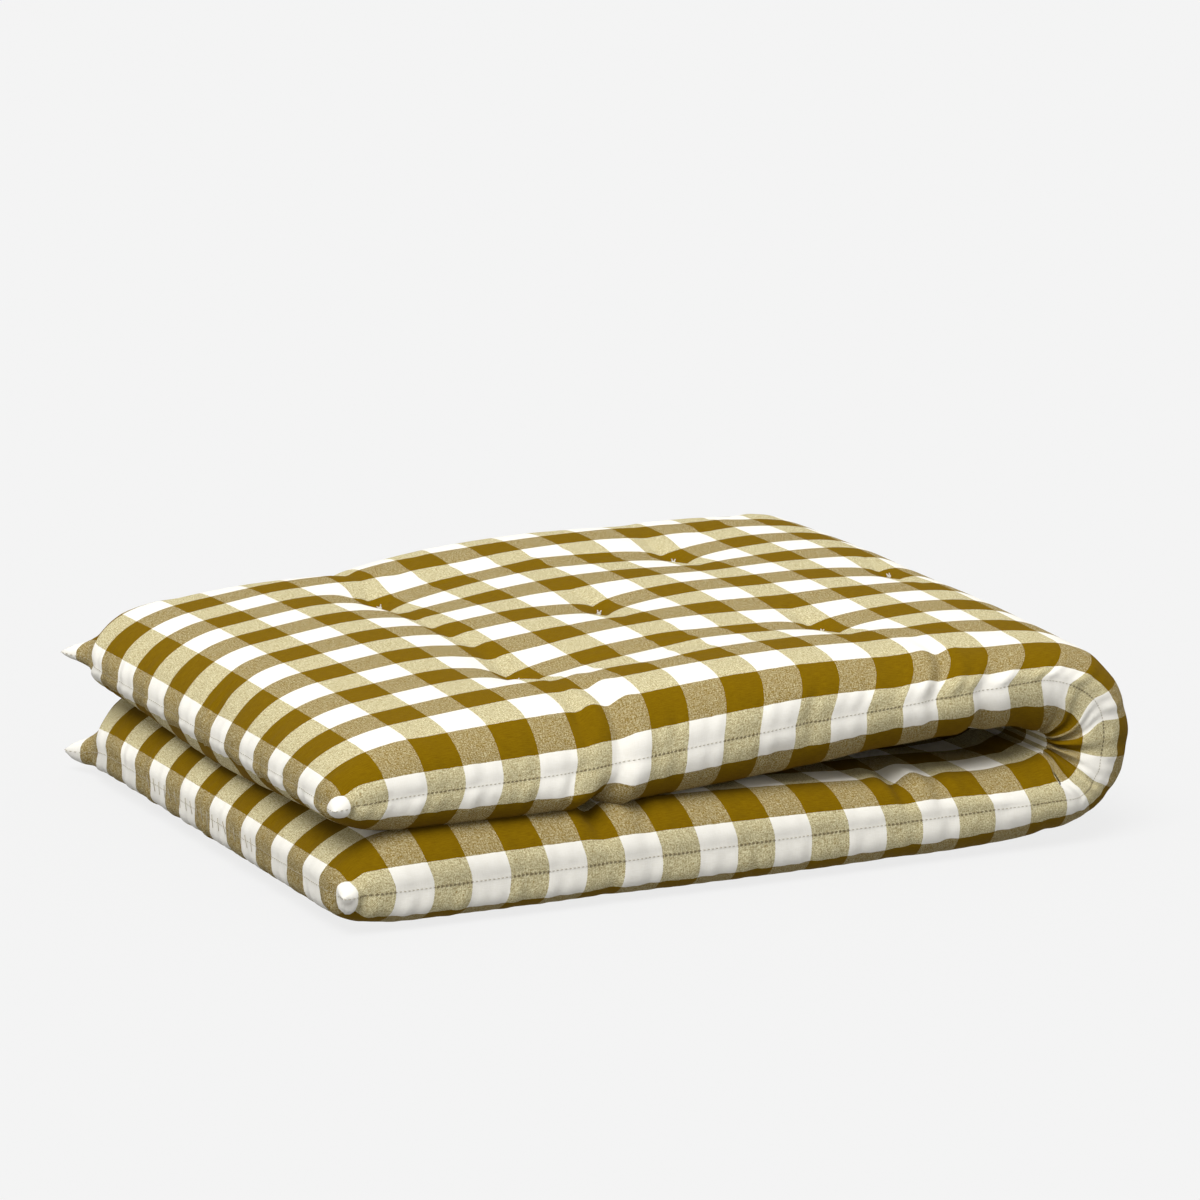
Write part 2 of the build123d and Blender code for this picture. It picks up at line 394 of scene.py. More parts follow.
grid_shape = (len(columns), len(rows))
outer = np.zeros(grid_shape + (3,))
inner = np.zeros(grid_shape + (3,))
tuft_share = np.ones(grid_shape)
column_grid, row_grid = np.meshgrid(columns, rows, indexing="ij")


def distance_to_line(start, end):
    """Distance in checks from each point of the cloth to the line between two tufts."""
    along = (end[0] - start[0], end[1] - start[1])
    length_squared = along[0] ** 2 + along[1] ** 2
    from_start = (column_grid - start[0], row_grid - start[1])
    share = (from_start[0] * along[0] + from_start[1] * along[1]) / length_squared
    share = np.clip(share, 0, 1)
    return np.hypot(from_start[0] - share * along[0], from_start[1] - share * along[1])


for start_tuft in TUFTS:
    distance = np.hypot(column_grid - start_tuft[0], row_grid - start_tuft[1])
    tuft_share -= TUFT_PULL * np.exp(-distance / TUFT_REACH)
    for end_tuft in TUFTS:
        if end_tuft[0] - start_tuft[0] == 4:
            near = np.exp(-distance_to_line(start_tuft, end_tuft) / CREASE_REACH)
            tuft_share -= CREASE_PULL * near
for trough_column in TROUGH_COLUMNS:
    drift = TROUGH_DRIFT * np.sin(rows * TROUGH_WANDER + trough_column)
    near = np.exp(-np.abs(column_grid - trough_column - drift) / TROUGH_REACH)
    fade = TROUGH_AT_SIDE - TROUGH_FADE * np.minimum(row_grid, CHECKS_WIDE - row_grid)
    tuft_share -= TROUGH_PULL * near * fade
tuft_share = np.maximum(tuft_share, LEAST_SHARE)


def corner_rise(from_side, from_end):
    """The lesser of two rises, with the change from one to the other rounded off."""
    side = np.maximum(from_side, 1e-3) ** -CORNER_POWER
    end = max(from_end, 1e-3) ** -CORNER_POWER
    return (side + end - 1) ** (-1 / CORNER_POWER) * (from_side > 0) * (from_end > 0)


for index, column in enumerate(columns):
    seam_x, seam_z, end_share, _ = lie(column, "seam")
    is_upper = min(1.0, max(0.0, (column - FOLD_START) / (FOLD_END - FOLD_START)))
    for panel, line, face_column in ((outer, "outer", spread(column)), (inner, "inner", column)):
        face_x, face_z, _, crown = lie(face_column, line)
        face_z = face_z + crown * (TOP_CROWN * across + TOP_LEAN * leaning)
        share = tuft_share[index]
        edge = 1.0
        if line == "inner":
            share = 1 - INNER_SHARE * (1 - share)
        if line == "outer" and column < FOLD_START:
            share = 1 - UNDERSIDE_SHARE * (1 - share)
            edge = at((UNDERSIDE_EDGE, 1.0), (column / FOLD_START) ** UNDERSIDE_EDGE_POWER)
        side_edges = np.full(len(rows), edge)
        if line == "outer" and column > FOLD_END:
            tightness = min(1.0, (CHECKS_LONG - column) / EDGES_FROM_END)
            tightness *= min(1.0, (column - FOLD_END) / EDGES_FROM_FOLD)
            far_edge = at((1.0, FAR_EDGE), tightness)
            near_edge = at((1.0, NEAR_EDGE), tightness)
            side_edges = np.where(rows > CHECKS_WIDE / 2, far_edge, near_edge)
        raised = corner_rise(row_rise ** side_edges, end_share ** edge) * share
        sideways = raised if FOLD_START < column < FOLD_END else row_rise
        panel[index, :, 0] = seam_x + (face_x - seam_x) * sideways
        panel[index, :, 1] = seam_row_y + (row_y - seam_row_y) * end_share + UPPER_SHIFT * is_upper
        panel[index, :, 2] = seam_z + (face_z - seam_z) * raised

outer_ids = np.arange(outer[..., 0].size).reshape(grid_shape)
inner_ids = outer_ids.copy()       # the two panels share the points of the seam
inside_shape = (len(columns) - 2, len(rows) - 2)
inner_ids[1:-1, 1:-1] = outer_ids.size + np.arange(math.prod(inside_shape)).reshape(inside_shape)
laid_out = np.concatenate([outer.reshape(-1, 3), inner[1:-1, 1:-1].reshape(-1, 3)])
flat_grid = np.stack([column_grid * CHECK, row_grid * CHECK, 0 * row_grid], -1)
cut_flat = np.concatenate([flat_grid.reshape(-1, 3), flat_grid[1:-1, 1:-1].reshape(-1, 3)])


def quads(ids):
    corners = (ids[:-1, :-1], ids[1:, :-1], ids[1:, 1:], ids[:-1, 1:])
    return np.stack(corners, -1).reshape(-1, 4)


outer_quads = quads(outer_ids)[:, ::-1]
inner_quads = quads(inner_ids)
cover = mesh_object("cover", laid_out, np.concatenate([outer_quads, inner_quads]))

INNER_PANEL_ROW = 100          # added to the row of the inner panel's cloth, an even number
pattern = cover.data.uv_layers.new(name="cloth")
corner_ids = np.empty(len(cover.data.loops), int)
cover.data.loops.foreach_get("vertex_index", corner_ids)
corner_cloth = cut_flat[corner_ids, :2] / CHECK
corner_cloth[len(outer_quads) * 4:, 1] += INNER_PANEL_ROW
pattern.data.foreach_set("uv", corner_cloth.astype(np.float32).ravel())


# ---- Filling and folding the cover -------------
# The batting pushes the cloth out while the twine holds it at the tufts, so the cloth, which
# is longer than the way that it has to go, lies in soft folds. Blender's Cloth does this,
# and no point moves further than a cap from where it was laid.

STEPS = 22
MOST_MOVE = 0.012
UNDERSIDE_GIVE = 0.2           # the lower layer's weight keeps this share of its movement
LOWER_SEAM_GIVE = 0.5
HOLLOW_GIVE = 0.3              # the faces of the hollow stay nearly as they were laid
SEAM_WIDTH = 1.5               # in checks, over which the give changes beside the seam
FOLD_MARGIN = 1                # in checks, the cloth beside the fold is held like the fold's
HELD_LOOSE = 0.10              # how firmly the simulation holds the cloth where it was laid
HELD_OUTSIDE_FOLD = 0.25
HELD_INSIDE_FOLD = 0.5
HELD_BY_TWINE = 1.0
COTTON = {
    "quality": 5,
    "mass": 0.3,
    "tension_stiffness": 80,
    "compression_stiffness": 80,
    "shear_stiffness": 20,
    "bending_stiffness": 0.08,
    "tension_damping": 10,
    "compression_damping": 10,
    "shear_damping": 5,
    "air_damping": 2,
    "vertex_group_mass": "held",
    "pin_stiffness": 1.0,
    "use_pressure": True,
    "uniform_pressure_force": 5.0,
}
STOP_REACH = 0.8               # half the size of the stiff sheets
STOP_PAST_FOLD = 0.01
STOP_THICKNESS = 0.001
STOP_CLEARANCE = 0.0015


def hold(object_, ids, weight):
    group = object_.vertex_groups.get("held") or object_.vertex_groups.new(name="held")
    group.add([int(i) for i in np.unique(ids)], weight, "REPLACE")


def collider(name, height_at):
    """A stiff sheet that the cloth can't pass: the floor, or the face where the layers meet."""
    end = fold_x + STOP_PAST_FOLD if name == "parting" else STOP_REACH
    sheet_x = np.linspace(-STOP_REACH, end, 12)
    points = [(x, y, height_at(x)) for x in sheet_x for y in (-STOP_REACH, STOP_REACH)]
    faces = [(2 * i, 2 * i + 2, 2 * i + 3, 2 * i + 1) for i in range(len(sheet_x) - 1)]
    sheet = mesh_object(name, points, faces)
    sheet.modifiers.new("stop", "COLLISION")
    sheet.collision.thickness_outer = STOP_THICKNESS
    sheet.collision.thickness_inner = STOP_THICKNESS
    return sheet


def parting_height(x):
    return at(PARTING, (x - fold_x + LAYER_LENGTH) / LAYER_LENGTH)


def fill(cloth_object):
    """Where the cloth's points settle when the batting pushes it out."""
    cloth_object.shape_key_add(name="Basis")
    cut = cloth_object.shape_key_add(name="cut")
    cut.data.foreach_set("co", cut_flat.astype(np.float32).ravel())
    hold(cloth_object, np.arange(len(laid_out)), HELD_LOOSE)
    fold_columns = (columns >= FOLD_START - FOLD_MARGIN) & (columns <= FOLD_END + FOLD_MARGIN)
    hold(cloth_object, outer_ids[fold_columns], HELD_OUTSIDE_FOLD)
    hold(cloth_object, inner_ids[fold_columns], HELD_INSIDE_FOLD)
    for tuft_column, tuft_row in TUFTS:
        centre = (tuft_column * CELLS, tuft_row * CELLS)
        around = np.ix_(range(centre[0] - 1, centre[0] + 2), range(centre[1] - 1, centre[1] + 2))
        hold(cloth_object, outer_ids[around], HELD_BY_TWINE)
        hold(cloth_object, inner_ids[around], HELD_BY_TWINE)
    stops = [collider("ground", lambda x: 0.0), collider("parting", parting_height)]

    cloth = cloth_object.modifiers.new("filling", "CLOTH")
    for name, value in COTTON.items():
        setattr(cloth.settings, name, value)
    cloth.settings.rest_shape_key = cut
    cloth.settings.effector_weights.gravity = 0
    cloth.collision_settings.distance_min = STOP_CLEARANCE
    cloth.point_cache.frame_start = 1
    cloth.point_cache.frame_end = STEPS
    for step in range(1, STEPS + 1):
        scene.frame_set(step)
    filled = cloth_object.evaluated_get(bpy.context.evaluated_depsgraph_get())
    settled = np.empty(len(laid_out) * 3)
    filled.data.vertices.foreach_get("co", settled)
    settled = settled.reshape(-1, 3)
    cloth_object.modifiers.remove(cloth)
    cloth_object.shape_key_clear()
    for stop in stops:
        bpy.data.objects.remove(stop)
    scene.frame_set(1)
    return settled


settled = fill(cover)
moved = settled - laid_out
distance = np.linalg.norm(moved, axis=1, keepdims=True)
moved *= MOST_MOVE * np.tanh(distance / MOST_MOVE) / np.maximum(distance, 1e-9)
in_from_seam = np.minimum(np.minimum(row_grid, CHECKS_WIDE - row_grid),
                          np.minimum(column_grid, CHECKS_LONG - column_grid))
past_seam = np.clip(in_from_seam / SEAM_WIDTH, 0, 1)
is_lower = np.clip((FOLD_START + 1 - column_grid) / 2, 0, 1)
underside_limit = at((LOWER_SEAM_GIVE, UNDERSIDE_GIVE), np.clip(in_from_seam, 0, 1))
underside_give = 1 - is_lower * (1 - underside_limit)
lower_top_give = 1 - is_lower * (1 - at((LOWER_SEAM_GIVE, 1), past_seam))
from_open_end = np.minimum(column_grid, CHECKS_LONG - column_grid) / FOLD_START
in_hollow = np.clip((from_open_end - HOLLOW_START) / (1 - HOLLOW_START), 0, 1)
hollow_give = 1 - (1 - HOLLOW_GIVE) * in_hollow * past_seam
moved[inner_ids.ravel()] *= (lower_top_give * hollow_give).reshape(-1, 1)
moved[outer_ids[1:-1, 1:-1].ravel()] *= underside_give[1:-1, 1:-1].reshape(-1, 1)
cover.data.vertices.foreach_set("co", (laid_out + moved).astype(np.float32).ravel())
cover.data.update()

smoothing = cover.modifiers.new("smoothing", "SUBSURF")
smoothing.levels = 1
smoothing.render_levels = 1
smoothing.uv_smooth = "NONE"
smoothed = cover.evaluated_get(bpy.context.evaluated_depsgraph_get())
smooth_mesh = bpy.data.meshes.new_from_object(smoothed)
bpy.data.objects.remove(cover)


# ---- The cloth ---------------------------------
# A plain-weave cotton gingham: olive and cream yarns in stripes one check wide, both ways.
# Where olive crosses olive the square is solid, where it crosses cream it is flecked.

YARNS = 60                      # in one check
OLIVE_DEEP = (0.146, 0.079, 0.0005, 1)
OLIVE_LIGHT = (0.208, 0.120, 0.0012, 1)
CREAM_DEEP = (0.83, 0.80, 0.715, 1)
CREAM_LIGHT = (0.89, 0.865, 0.80, 1)
CREAM_BESIDE_OLIVE = (0.85, 0.80, 0.52, 1)  # cream yarn, coloured by the olive yarn round it
OLIVE_ROW_LEAN = 0.34           # how much more of the row's yarn shows than the column's
CREAM_ROW_LEAN = 0.02
STRIPE_WANDER = 0.02            # in checks, the stripes aren't quite straight
SLUB_LONG = 5.0                 # thick and thin places of a yarn, along it and across it
SLUB_ACROSS = 60.0
OVER_AND_UNDER = 0.55           # what decides the yarn on top: weave, slubs and mottling
SLUB_SHARE = 0.9
MOTTLE_SHARE = 2.3
YARN_BLUR = 0.62


def woven_check(wire):
    """Sockets that describe the cloth at a point: its colour, and what else depends on the weave."""
    place = wire.node("ShaderNodeUVMap", {"uv_map": "cloth"}, {})
    waver = wire.node("ShaderNodeTexNoise", {}, {"Vector": place, "Scale": 9.0, "Detail": 3.0})
    column = wire.node("ShaderNodeSeparateXYZ", {}, {0: place}, "X")
    row = wire.node("ShaderNodeSeparateXYZ", {}, {0: place}, "Y")
    drift = (waver - 0.5) * STRIPE_WANDER
    olive_column = ((column + drift + 0.5) * 0.5).fraction() > 0.5
    olive_row = ((row + drift + 0.5) * 0.5).fraction() > 0.5

    over = (column * (math.pi * YARNS)).sine() * (row * (math.pi * YARNS)).sine()
    row_run = wire.node("ShaderNodeCombineXYZ", {}, {"X": column * SLUB_LONG, "Y": row * SLUB_ACROSS})
    column_run = wire.node("ShaderNodeCombineXYZ", {}, {"X": column * SLUB_ACROSS, "Y": row * SLUB_LONG})
    slub = {"Scale": 1.0, "Detail": 4.0}
    row_slub = wire.node("ShaderNodeTexNoise", {}, {"Vector": row_run, **slub})
    column_slub = wire.node("ShaderNodeTexNoise", {}, {"Vector": column_run, **slub})
    blotches = {"Vector": place, "Scale": 25.0, "Detail": 4.0, "Roughness": 0.75}
    mottle = wire.node("ShaderNodeTexNoise", {}, blotches)
    lean = olive_row * (OLIVE_ROW_LEAN - CREAM_ROW_LEAN) + CREAM_ROW_LEAN
    fleck = (row_slub - column_slub) * SLUB_SHARE + (mottle - 0.5) * MOTTLE_SHARE
    row_on_top = (over * OVER_AND_UNDER + lean + fleck).ramp(-YARN_BLUR, YARN_BLUR)

    cream_row = row_slub.ramp(0.3, 0.7).mix(CREAM_DEEP, CREAM_LIGHT)
    cream_column = column_slub.ramp(0.3, 0.7).mix(CREAM_DEEP, CREAM_LIGHT)
    cream_row = olive_column.mix(cream_row, CREAM_BESIDE_OLIVE)
    cream_column = olive_row.mix(cream_column, CREAM_BESIDE_OLIVE)
    olive_row_yarn = row_slub.ramp(0.3, 0.7).mix(OLIVE_DEEP, OLIVE_LIGHT)
    row_yarn = olive_row.mix(cream_row, olive_row_yarn)
    olive_column_yarn = column_slub.ramp(0.3, 0.7).mix(OLIVE_DEEP, OLIVE_LIGHT)
    column_yarn = olive_column.mix(cream_column, olive_column_yarn)
    shade = row_on_top.mix(column_yarn, row_yarn)
    return shade, over.size(), mottle, olive_column, row, column


cloth_material, cloth_shader, cloth_wire = new_material("gingham_cotton")
shade, yarn_height, mottle, olive_column, row, column = woven_check(cloth_wire)

STITCHES = 9.0                  # per check
SEAM_SHADOW_HALF = (0.012, 0.030)     # in checks, where the painted shadow of the seam's groove starts to fade and ends
SEAM_SHADOW_COLOUR = colour(60, 44, 12)
beside_seam = (((row + 0.5) * (1 / INNER_PANEL_ROW)).fraction() * INNER_PANEL_ROW - 0.5).size()
far_seam = (beside_seam - CHECKS_WIDE).size()
seam_gap = beside_seam.math("MINIMUM", far_seam)
# Painted shade: a thin dark dashed line along each side seam, stronger across the olive columns, stands
# for the shadow in the seam's groove.
dash = (column * (2 * math.pi * STITCHES)).sine().ramp(-0.4, 0.2)
painted_seam_shadow = (1 - seam_gap.ramp(*SEAM_SHADOW_HALF)) * dash * (olive_column * 0.5 + 0.10)
plug(painted_seam_shadow.mix(shade, SEAM_SHADOW_COLOUR), cloth_shader, "Base Color")
plug(mottle * 0.12 + 0.82, cloth_shader, "Roughness")
cloth_shader.inputs["Specular IOR Level"].default_value = 0.03
cloth_shader.inputs["Sheen Weight"].default_value = 0.01
cloth_shader.inputs["Sheen Roughness"].default_value = 0.5
relief = {"Height": yarn_height + mottle * 2.0, "Strength": 0.35, "Distance": 0.0004}
plug(cloth_wire.node("ShaderNodeBump", {}, relief), cloth_shader, "Normal")


# ---- Seam, pinched corners and gathers ---------
# The machined seam draws the cloth into a shallow groove with small puckers. The corners are
# drawn out to soft ears, the twine gathers the sides, and the inside of the fold is pleated.

GROOVE_DEPTH = 0.0016
GROOVE_HALF = 0.14             # in checks, like the other places and reaches here
PUCKER_DEPTH = 0.0011
PUCKER_REACH = 0.9
PUCKER_LENGTH = 1.6
PUCKER_WAVES = ((1.31, 0.4), (2.17, 1.9), (3.41, 4.4))    # how many in that length, and phase
PUCKER_EASED = 0.6             # this share shallower right at the seam
PUCKER_EASED_HALF = 0.1
PUCKER_SHIFTS = (2.1, 0.9, 7.3)    # so that far side, inner panel and ends don't repeat
EAR_REACH = 0.6
DROOP_REACH = 1.4
TUCK_AT = 0.95
TUCK_HALF = 0.7
EAR_EXTENT = 3
DROOP_ABOVE = 0.02             # metres, the cloth nearer to the floor droops less
EARS = [
    # column, row, outward pull, droop and inward tuck in metres, then in checks the neck's
    # place, half length and narrowing, and the tip's place, half length and swelling
    (0, 0, 0.002, 0.000, 0.000, 0.78, 0.18, 0.28, 0.38, 0.26, 0.12),
    (0, CHECKS_WIDE, 0.014, 0.016, 0.010, 0.75, 0.25, 0.12, 0.40, 0.25, 0.00),
    (CHECKS_LONG, 0, 0.002, 0.003, 0.000, 0.76, 0.18, 0.34, 0.36, 0.26, 0.26),
    (CHECKS_LONG, CHECKS_WIDE, 0.010, 0.000, 0.012, 0.70, 0.25, 0.10, 0.40, 0.25, 0.00),
]
CRUMPLE = 0.0016               # the lower near ear is crushed into a few points
CRUMPLE_AT = 0.3
CRUMPLE_HALF = 0.25
GATHER_LEAN = 0.12
GATHER_BULGE = 0.35            # the cloth stands up beside a gather, this share of its depth
GATHER_BULGE_AT = 2.2          # and this many of its half lengths away
GATHER_ROUND_SEAM = 0.6        # how far it reaches round onto the other panel
GATHERS = [
    # column, row, half length along the column and along the row, depth in metres, inner panel
    (38.6, 1.0, 0.30, 1.1, 0.010, True),
    (38.3, 1.3, 0.22, 1.8, 0.006, False),
    (7.2, 1.4, 0.26, 1.1, 0.007, True),
    (8.4, 1.0, 0.22, 1.0, 0.003, True),
    (15.4, 1.5, 0.24, 1.2, 0.007, True),
    (16.4, 1.1, 0.20, 1.0, 0.003, True),
    (29.7, 0.9, 0.20, 1.1, 0.006, False),
    (28.3, 0.7, 0.20, 1.0, 0.005, True),
    (38.6, 17.0, 0.30, 1.1, 0.010, True),
    (7.3, 16.8, 0.30, 1.2, 0.010, True),
    (15.5, 16.9, 0.26, 1.2, 0.008, True),
    (30.6, 17.0, 0.26, 1.2, 0.008, True),
]
TUFT_FOLD = 0.008              # each tie pulls a sharp fold into the cloth, crosswise
TUFT_FOLD_HALF = 0.30
TUFT_FOLD_LENGTH = 1.2
TUFT_FOLD_WANDER = 0.10
TUFT_FOLD_INNER = 0.6          # shares of its depth on the inner panel and the underside
TUFT_FOLD_UNDER = 0.2
PLEAT_DEPTH = 0.0045
PLEATS_PER_CHECK = 0.85
PLEAT_SLANT = 0.35
PLEAT_OUTSIDE = 0.15           # share of its depth on the outer panel
PLEATS_HALF = 3.2              # how far they reach along the cloth, and in from its side
PLEATS_IN = 1.3
PLEATS_IN_HALF = 1.0
OFF_FLOOR = 0.0005             # metres, least height of the cloth
INNER_LEAST = 0.009            # metres, least distance of the cloth from the fold's axis
FIRM_WITHIN = 0.025
FREE_BEYOND = 0.045

point_count = len(smooth_mesh.vertices)
points = np.empty(point_count * 3)
smooth_mesh.vertices.foreach_get("co", points)
points = points.reshape(-1, 3)
loop_points = np.empty(len(smooth_mesh.loops), int)
smooth_mesh.loops.foreach_get("vertex_index", loop_points)
loop_cloth = np.empty(len(smooth_mesh.loops) * 2)
smooth_mesh.uv_layers["cloth"].data.foreach_get("uv", loop_cloth)
loop_cloth = loop_cloth.reshape(-1, 2)
faces = loop_points.reshape(-1, 4)
face_cloth = loop_cloth.reshape(-1, 4, 2)


def vertex_normals(points):
    """Normals of the whole cover, each the mean of the faces round it weighted by size."""
    a, b, c, d = (points[faces[:, i]] for i in range(4))
    across_face = np.cross(c - a, d - b)
    total = np.zeros_like(points)
    for corner in range(4):
        np.add.at(total, faces[:, corner], across_face)
    return total / np.maximum(np.linalg.norm(total, axis=1, keepdims=True), 1e-12)


point_cloth = np.zeros((point_count, 2))
point_cloth[loop_points] = loop_cloth
on_inner = point_cloth[:, 1] > INNER_PANEL_ROW / 2
column_at = point_cloth[:, 0]
row_at = np.where(on_inner, point_cloth[:, 1] - INNER_PANEL_ROW, point_cloth[:, 1])


def bell(distance, half):
    """1 where the distance is 0, about a third at half and almost nothing at twice half."""
    return np.exp(-(distance / half) ** 2)


from_side = np.minimum(row_at, CHECKS_WIDE - row_at)
from_end = np.minimum(column_at, CHECKS_LONG - column_at)
from_seam = np.minimum(from_side, from_end)
sink = GROOVE_DEPTH * bell(from_seam, GROOVE_HALF)
far_shift, inner_shift, end_shift = PUCKER_SHIFTS
along_seam = np.where(from_side < from_end, column_at, row_at + end_shift)
shift = np.where(row_at < CHECKS_WIDE / 2, 0.0, far_shift) + np.where(on_inner, inner_shift, 0.0)
ripple = np.zeros(point_count)
for waves, phase in PUCKER_WAVES:
    ripple += np.sin(2 * math.pi * waves * along_seam / PUCKER_LENGTH + phase + shift) / 2
eased = 1 - PUCKER_EASED * bell(from_seam, PUCKER_EASED_HALF)
sink += PUCKER_DEPTH * ripple * bell(from_seam, PUCKER_REACH) * eased
for column, row, half_column, half_row, depth, inner_panel in GATHERS:
    away = (column_at - column - GATHER_LEAN * (row_at - row), row_at - row)
    bulge = bell(np.abs(away[0]) - GATHER_BULGE_AT * half_column, half_column)
    trough = bell(away[0], half_column) - GATHER_BULGE * bulge
    panel_share = np.where(on_inner == inner_panel, 1.0, bell(from_seam, GATHER_ROUND_SEAM))
    sink += depth * trough * bell(away[1], half_row) * panel_share
tuft_fold_outer = np.where(column_at < FOLD_START, TUFT_FOLD_UNDER, 1.0)
tuft_fold_depth = TUFT_FOLD * np.where(on_inner, TUFT_FOLD_INNER, tuft_fold_outer)
for column, row in TUFTS:
    wander = TUFT_FOLD_WANDER * np.sin(2 * (row_at - row) + column)
    sharp = np.exp(-np.abs(column_at - column - wander) / TUFT_FOLD_HALF)
    sink += tuft_fold_depth * sharp * bell(row_at - row, TUFT_FOLD_LENGTH)
pleat = np.sin(2 * math.pi * PLEATS_PER_CHECK * column_at + PLEAT_SLANT * from_side)
pleat *= np.where(on_inner, 1, PLEAT_OUTSIDE)
fold_share = bell(column_at - (FOLD_START + FOLD_END) / 2, PLEATS_HALF)
sink += PLEAT_DEPTH * pleat * fold_share * bell(from_side - PLEATS_IN, PLEATS_IN_HALF)
points = points - vertex_normals(points) * sink[:, None]
points[:, 2] = np.maximum(points[:, 2], OFF_FLOOR)

for column, row, pull, droop, tuck, neck_at, neck_half, neck, tip_at, tip_half, swell in EARS:
    away = np.hypot(column_at - column, row_at - row)
    tip = points[np.argmin(away)].copy()
    outward = np.array([-1.0, -1.0 if row == 0 else 1.0, 0.0]) / math.sqrt(2)
    scale = 1 - neck * bell(away - neck_at, neck_half) + swell * bell(away - tip_at, tip_half)
    offset = points - tip
    lengthways = (offset @ outward)[:, None] * outward
    sideways = offset - lengthways
    drawn_out = pull * bell(away, EAR_REACH)
    shifted = tip + lengthways + sideways * scale[:, None] + drawn_out[:, None] * outward
    tucked_in = tuck * bell(away - TUCK_AT, TUCK_HALF)
    shifted = shifted - tucked_in[:, None] * outward
    shifted[:, 2] -= droop * bell(away, DROOP_REACH) * np.clip(shifted[:, 2] / DROOP_ABOVE, 0, 1)
    points = np.where((away < EAR_EXTENT)[:, None], shifted, points)
near_ear = bell(np.hypot(column_at, row_at) - CRUMPLE_AT, CRUMPLE_HALF)
# Seven folds run round the ear, and eleven weaker ones turn as they run out along it.
around_ear = np.arctan2(row_at, column_at) * np.where(on_inner, 1, -1)
crumpling = np.sin(7 * around_ear + 0.8) + 0.7 * np.sin(11 * around_ear + 9 * column_at)
points = points + vertex_normals(points) * (CRUMPLE * near_ear * crumpling)[:, None]

# Inside the fold each column of the cloth keeps to its own angle about the axis and stays a
# little way off it.
in_fold = (column_at > FOLD_START) & (column_at < FOLD_END)
from_axis = np.hypot(points[:, 0] - fold_x, points[:, 2] - fold_z)
fold_angle = np.arctan2(points[:, 0] - fold_x, fold_z - points[:, 2])
fold_angle = np.where(fold_angle < -math.pi / 2, fold_angle + 2 * math.pi, fold_angle)
column_angle = (column_at - FOLD_START) / (FOLD_END - FOLD_START) * math.pi
firmness = np.clip((FREE_BEYOND - from_axis) / (FREE_BEYOND - FIRM_WITHIN), 0, 1)
fold_angle += (column_angle - fold_angle) * firmness
from_axis = np.maximum(from_axis, INNER_LEAST)
points[:, 0] = np.where(in_fold, fold_x + from_axis * np.sin(fold_angle), points[:, 0])
points[:, 2] = np.where(in_fold, fold_z - from_axis * np.cos(fold_angle), points[:, 2])
normals = vertex_normals(points)


# ---- The cover, cut into pieces ----------------
# The real cover is whole. Here it is six pieces, one for each hinge of the
# fold, with normals taken from the whole cover so that no join shows.

HINGES = len(frame["joints"])
checks_per_hinge = (FOLD_END - FOLD_START) / (HINGES - 1)
cuts = [0.0] + [FOLD_START + (number + 0.5) * checks_per_hinge for number in range(HINGES - 1)]
cuts.append(float(CHECKS_LONG))


def bend_at_hinge(piece, number):
    """Bakes the piece's place into its points. The turn of its hinge is worked out but not used."""
    turn = math.radians(180 / (HINGES - 1) * number)
    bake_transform(piece)


middle_column = face_cloth[:, :, 0].mean(axis=1)
for number, joint in enumerate(frame["joints"]):
    chosen = (middle_column > cuts[number]) & (middle_column < cuts[number + 1])
    used, local = np.unique(faces[chosen], return_inverse=True)
    piece = mesh_object(f"cover_{number + 1}", points[used], local.reshape(-1, 4))
    piece_map = piece.data.uv_layers.new(name="cloth")
    piece_map.data.foreach_set("uv", face_cloth[chosen].astype(np.float32).ravel())
    piece.data.polygons.foreach_set("use_smooth", np.ones(int(chosen.sum()), bool))
    piece.data.normals_split_custom_set_from_vertices(normals[used].tolist())
    piece.data.materials.append(cloth_material)
    bend_at_hinge(piece, number)

SOFT = ("panel", "batting", "seam_allowance")
for node in frame["nodes"]:
    if not any(word in node for word in SOFT):
        continue
    if node.startswith("lower"):
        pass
    elif node.startswith("upper"):
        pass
    else:
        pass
    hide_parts(node)


# ---- Seam stitches -----------------------------
# A cotton thread closes the seam all round in stitches a few millimetres long. They lie in the
# seam's groove, a run of them on each piece of the cover.

THREAD_RADIUS = 0.00032
STITCH_SHARE = 0.62            # of the pitch, the rest is under the cloth
THREAD_PROUD = 0.0003          # height of a stitch's middle over the cloth
THREAD_SIDES = 5
TUBE_SIDES = 6
TUBE_TAPER = 0.5
STITCH_SPOTS = np.array([-0.5, -0.2, 0.2, 0.5])   # along a stitch, and its height there
STITCH_RISE = np.array([-1.2, 1, 1, -1.2])
# Painted shade: the thread takes the colour of the check it lies across, darkened as that cloth looks in
# the groove's shadow.
THREAD_SHADED_ON_CREAM = (0.52, 0.48, 0.38, 1)
THREAD_SHADED_ON_OLIVE = (0.085, 0.060, 0.022, 1)
THREAD_TWIST = (0.30, 0.25, 0.15, 1)


